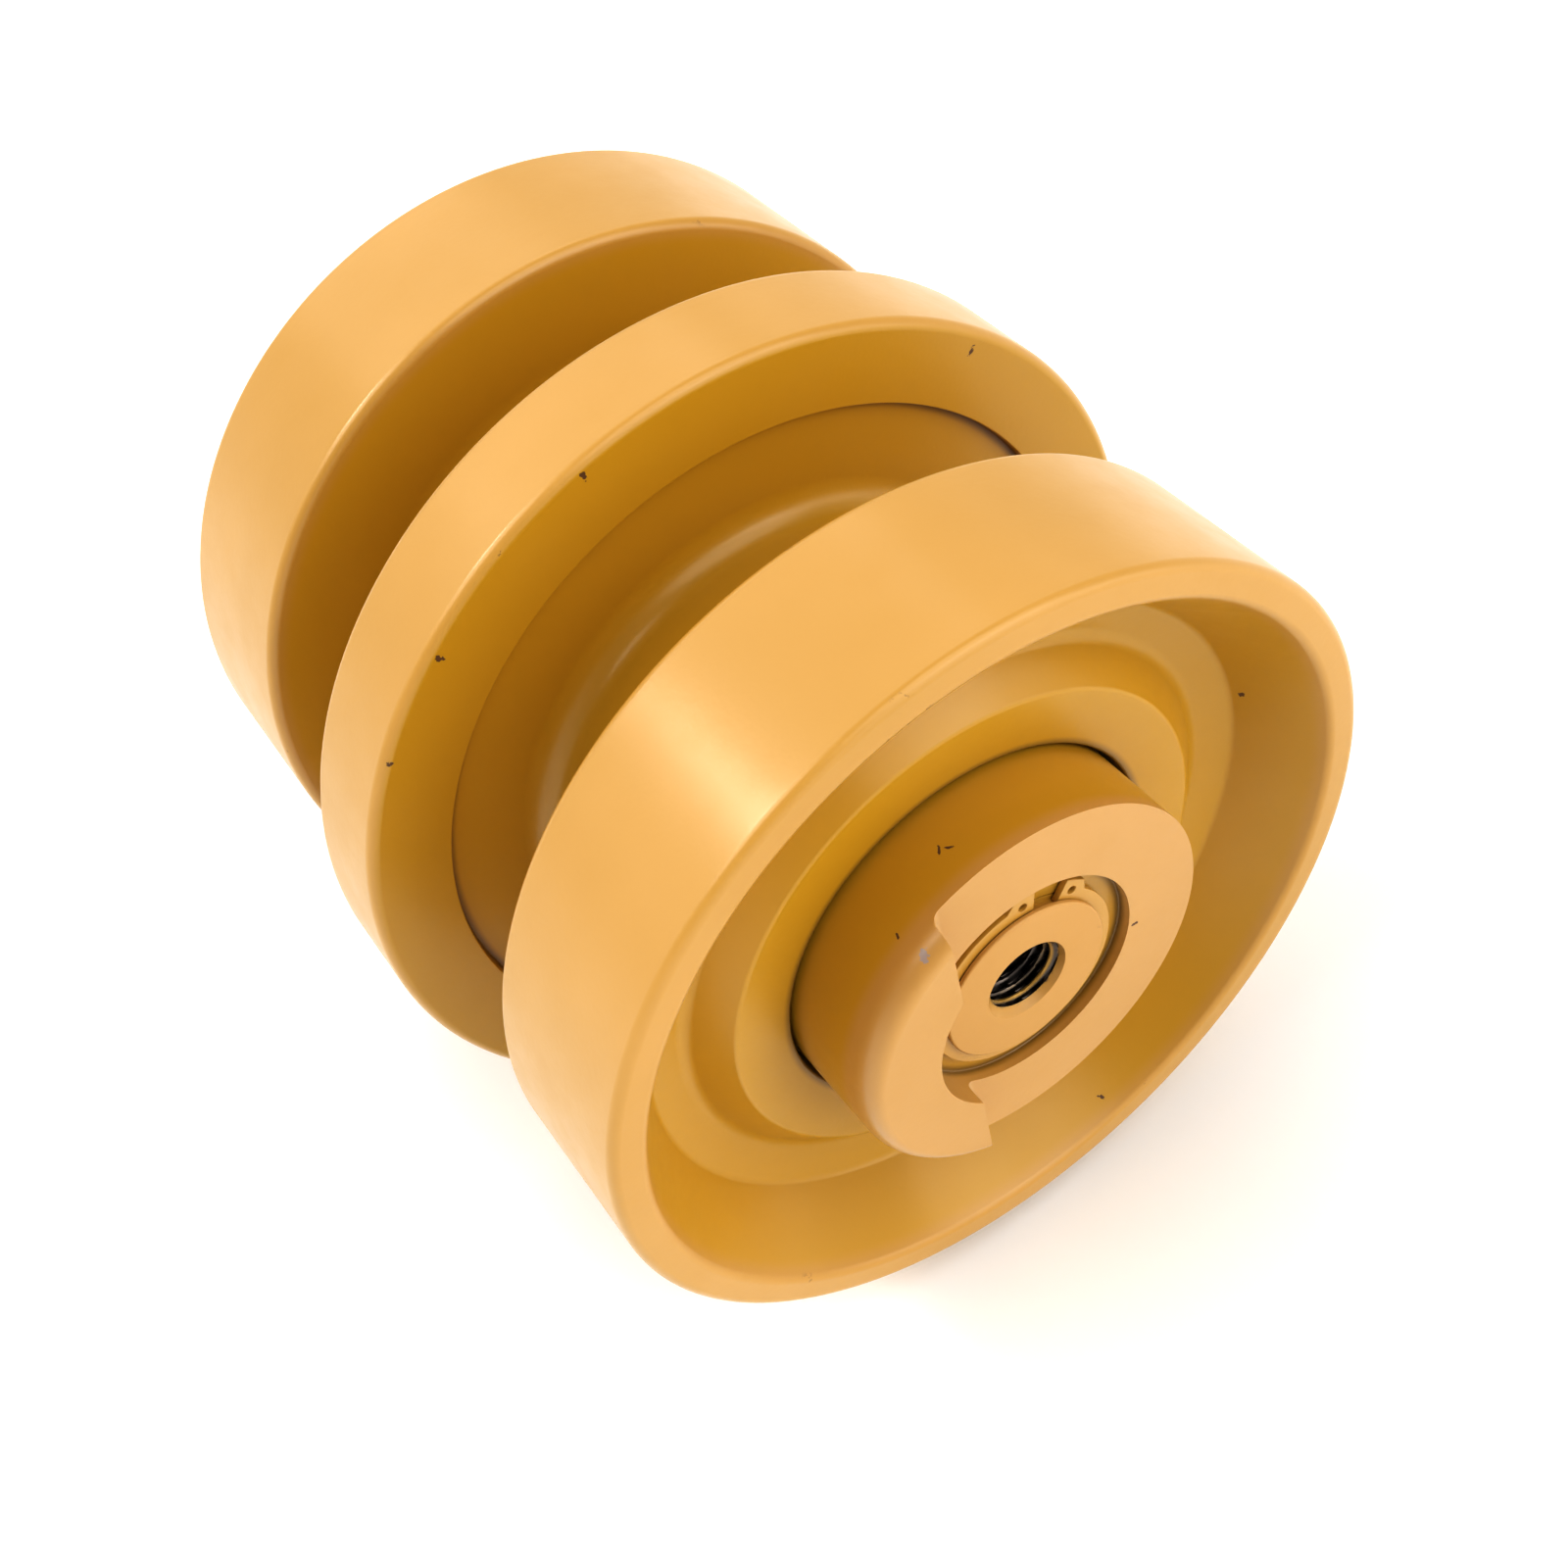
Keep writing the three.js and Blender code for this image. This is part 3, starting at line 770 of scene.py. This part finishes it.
def collar(end, side):
    """The turned collar with everything but its key cut down to the seat face."""
    corners = [
        (SHAFT_END_R + GAP, SHOULDER_Y + GAP, 0.3),
        (COLLAR_SLEEVE_R, SHOULDER_Y + GAP, 0.5),
        (COLLAR_SLEEVE_R, COLLAR_RECESS_Y, 0.5),
        (SEAL_SEAT_R, COLLAR_RECESS_Y, 0.5),
        (SEAL_SEAT_R, COLLAR_INNER_Y, 0.4),
        (COLLAR_R, COLLAR_INNER_Y, 0.8),
        *key_edge(),
        (COUNTERBORE_R, KEY_Y, 0.4),
        (COUNTERBORE_R, COUNTERBORE_Y, 0.5),
        (SHAFT_END_R + GAP, COUNTERBORE_Y, 0.2),
    ]
    piece = turned(f"collar_{end}_body", rounded(at_end(corners, side)), COLLAR_SEGMENTS)
    piece.modifiers.clear()
    relief = key_relief(side)
    cut = piece.modifiers.new("relief", "BOOLEAN")
    cut.operation = "DIFFERENCE"
    cut.solver = "EXACT"
    cut.object = relief
    soften = piece.modifiers.new("soft_edges", "BEVEL")
    soften.width = 1.2 * MM
    soften.segments = 3
    soften.limit_method = "ANGLE"
    soften.angle_limit = math.radians(40)
    soften.harden_normals = False
    bake_modifiers(piece)
    bpy.data.objects.remove(relief)
    even_normals(piece)
    return piece


def bake_modifiers(piece):
    """Replaces a piece's mesh with what its modifiers make of it."""
    graph = bpy.context.evaluated_depsgraph_get()
    mesh = bpy.data.meshes.new_from_object(piece.evaluated_get(graph))
    piece.modifiers.clear()
    piece.data = mesh
    smooth(mesh)


# ---- retaining ring ------------------------------------------------------------------
def arc(radius, start, stop, steps):
    """Points along an arc between two angles in degrees."""
    points = []
    for k in range(steps + 1):
        angle = math.radians(start + (stop - start) * k / steps)
        points.append((radius * math.cos(angle), radius * math.sin(angle)))
    return points


def ring_outline():
    """The ring seen along the shaft: an open band that widens into a lug at each end."""
    first, last = RING_HALF_OPENING, 360 - RING_HALF_OPENING
    return [
        *arc(LUG_R, first + 1, first + LUG_SPAN - 3, 6),
        *arc(RING_OUTER_R, first + LUG_SPAN + 2, last - LUG_SPAN - 2, 90),
        *arc(LUG_R, last - LUG_SPAN + 3, last - 1, 6),
        *arc(RING_INNER_R, last, first, 100),
    ]


def lug_hole(angle):
    """A small circle in a lug, at an angle in degrees."""
    turn = math.radians(angle)
    centre = Vector((LUG_HOLE_AT_R * math.cos(turn), LUG_HOLE_AT_R * math.sin(turn)))
    start = Vector((LUG_HOLE_R, 0))
    return [centre + Matrix.Rotation(math.tau * k / 20, 2) @ start for k in range(20)]


def snap_ring(end, side):
    """Stamped ring with a small round along its edges and a hole in each lug."""
    flat = bpy.data.curves.new(f"snap_ring_{end}_curve", "CURVE")
    flat.dimensions = "2D"
    flat.fill_mode = "BOTH"
    holes = [lug_hole(angle) for angle in (LUG_HOLE_AT_ANGLE, 360 - LUG_HOLE_AT_ANGLE)]
    for loop in [ring_outline()] + holes:
        spline = flat.splines.new("POLY")
        spline.points.add(len(loop) - 1)
        for point, (x, y) in zip(spline.points, loop):
            point.co = (x * MM, y * MM, 0, 1)
        spline.use_cyclic_u = True
    flat.extrude = 0.75 * MM
    flat.bevel_depth = 0.25 * MM
    flat.bevel_resolution = 1
    flat.offset = -0.25 * MM
    source = add_object("ring_source", flat)
    graph = bpy.context.evaluated_depsgraph_get()
    mesh = bpy.data.meshes.new_from_object(source.evaluated_get(graph))
    bpy.data.objects.remove(source)
    middle_y = side * (COUNTERBORE_Y + GAP + 1.0) * MM
    turn = Matrix.Rotation(math.radians(RING_TURN), 4, "Z")
    stand = Matrix.Rotation(math.radians(90), 4, "X")
    mesh.transform(Matrix.Translation((0, middle_y, 0)) @ stand @ turn)
    smooth(mesh)
    return add_object(f"snap_ring_{end}_body", mesh)


# ---- assembly ------------------------------------------------------------------------
def toric_y(direction):
    """Where a toric sits along the shaft, behind the rim of its seal ring."""
    return SEAL_FACE_Y + direction * (GAP / 2 + SEAL_RING_RIM + 3.9)


def build_roller():
    stand_for("roller_shell", roller_shell())
    for end, side in ENDS.items():
        inner = JOURNAL_R + GAP
        near = THRUST_HALF + WASHER_THICKNESS + 2 * GAP
        bushing = sleeve(f"bushing_{end}_body", side, inner, BUSHING_R, near, BUSHING_END_Y)
        stand_for(f"bushing_{end}", bushing)
        inner, near = JOURNAL_R + 2 * GAP, THRUST_HALF + GAP
        far = near + WASHER_THICKNESS
        washer = sleeve(f"thrust_washer_{end}_body", side, inner, THRUST_R, near, far)
        stand_for(f"thrust_washer_{end}", washer)
        ring = seal_ring(f"seal_ring_turning_{end}_body", side, -1)
        stand_for(f"seal_ring_turning_{end}", ring)
        toric_name = f"toric_turning_{end}_body"
        toric = round_ring(toric_name, side, TORIC_R, toric_y(-1), TORIC_SECTION_R)
        stand_for(f"toric_turning_{end}", toric)


def build_axle():
    stand_for("shaft", shaft())
    stand_for("oil_plug", oil_plug())
    near = THREAD_END_Y + GAP
    washer = sleeve("oil_plug_washer_body", -1, 5.0, OIL_PLUG_R, near, near + 1.5, 0.2)
    stand_for("oil_plug_washer", washer)
    for end, side in ENDS.items():
        stand_for(f"collar_{end}", collar(end, side))
        stand_for(f"snap_ring_{end}", snap_ring(end, side))
        o_ring_name = f"shaft_o_ring_{end}_body"
        o_ring = round_ring(o_ring_name, side, O_RING_R, O_RING_Y, O_RING_SECTION_R)
        stand_for(f"shaft_o_ring_{end}", o_ring)
        ring = seal_ring(f"seal_ring_fixed_{end}_body", side, 1)
        stand_for(f"seal_ring_fixed_{end}", ring)
        toric_name = f"toric_fixed_{end}_body"
        toric = round_ring(toric_name, side, TORIC_R, toric_y(1), TORIC_SECTION_R)
        stand_for(f"toric_fixed_{end}", toric)


# ---- floor, light and camera ---------------------------------------------------------
def pale_floor():
    """A wide white sheet under the middle flange."""
    half = 30.0
    level = CAD_BOX[0].z
    mesh = bpy.data.meshes.new("floor")
    around = [(-half, -half), (half, -half), (half, half), (-half, half)]
    mesh.from_pydata([(x, y, level) for x, y in around], [], [(0, 1, 2, 3)])
    floor = add_object("floor", mesh)
    look = Finish("floor_white")
    tone = look.mix(look.noise(2.0), (0.93, 0.93, 0.93, 1), (0.95, 0.95, 0.95, 1))
    look.feed_shader(Base_Color=tone, Roughness=0.8)
    mesh.materials.append(look.material)


def soft_light(name, elevation, azimuth, width, strength):
    """A round, far-off soft light. All but the strength are in degrees, azimuth 0 at +X."""
    lamp = bpy.data.lights.new(name, "SUN")
    lamp.angle = math.radians(width)
    lamp.energy = strength
    holder = bpy.data.objects.new(name, lamp)
    bpy.context.scene.collection.objects.link(holder)
    rise, turn = math.radians(elevation), math.radians(azimuth)
    level = math.cos(rise)
    towards = Vector((level * math.cos(turn), level * math.sin(turn), math.sin(rise)))
    holder.location = towards
    holder.rotation_euler = towards.to_track_quat("Z", "Y").to_euler()


def white_sweep():
    """A white studio wall all round, fading to a dim ceiling."""
    world = bpy.data.worlds.new("studio")
    bpy.context.scene.world = world
    world.use_nodes = True
    tree = world.node_tree
    place = tree.nodes.new("ShaderNodeTexCoord")
    split = tree.nodes.new("ShaderNodeSeparateXYZ")
    fade = tree.nodes.new("ShaderNodeMapRange")
    fade.interpolation_type = "SMOOTHSTEP"
    tree.links.new(place.outputs["Generated"], split.inputs["Vector"])
    tree.links.new(split.outputs["Z"], fade.inputs["Value"])
    for key, value in {"From Min": 0.1, "From Max": 0.5, "To Min": 1.1, "To Max": 0.35}.items():
        fade.inputs[key].default_value = value
    tree.links.new(fade.outputs["Result"], tree.nodes["Background"].inputs["Strength"])
    tree.nodes["Background"].inputs["Color"].default_value = (1.0, 1.0, 1.0, 1)


def studio():
    white_sweep()
    soft_light("low_front_right", 12, 300, 60, 1.22)
    soft_light("high_left", 54, 165, 34, 1.10)
    soft_light("high_back", 48, 88, 55, 1.02)
    soft_light("front", 50, 300, 55, 1.60)
    soft_light("back_left", 32, 145, 40, 0.38)
    soft_light("back_right", 32, 45, 32, 0.20)
    soft_light("glint", 43, 133, 12, 0.66)
    view = bpy.context.scene.view_settings
    view.view_transform = "Standard"
    view.gamma = 0.675


def camera():
    """Stands at the left of the front end, looks down at it and leans to one side."""
    lens = bpy.data.cameras.new("camera")
    lens.lens = 44.95
    lens.sensor_width = 36
    holder = bpy.data.objects.new("camera", lens)
    bpy.context.scene.collection.objects.link(holder)
    azimuth, elevation, lean = (math.radians(a) for a in (-112.1796, 49.3166, -16.0126))
    look_at = Vector((-4.467, -19.408, -16.898)) * MM
    distance = 577.034 * MM
    swing = Matrix.Rotation(azimuth + math.pi / 2, 4, "Z")
    tip = Matrix.Rotation(math.pi / 2 - elevation, 4, "X")
    back_off = Matrix.Translation((0, 0, distance))
    turn = Matrix.Rotation(lean, 4, "Z")
    holder.matrix_world = Matrix.Translation(look_at) @ swing @ tip @ back_off @ turn
    bpy.context.scene.camera = holder


camera()
studio()
pale_floor()
build_roller()
build_axle()
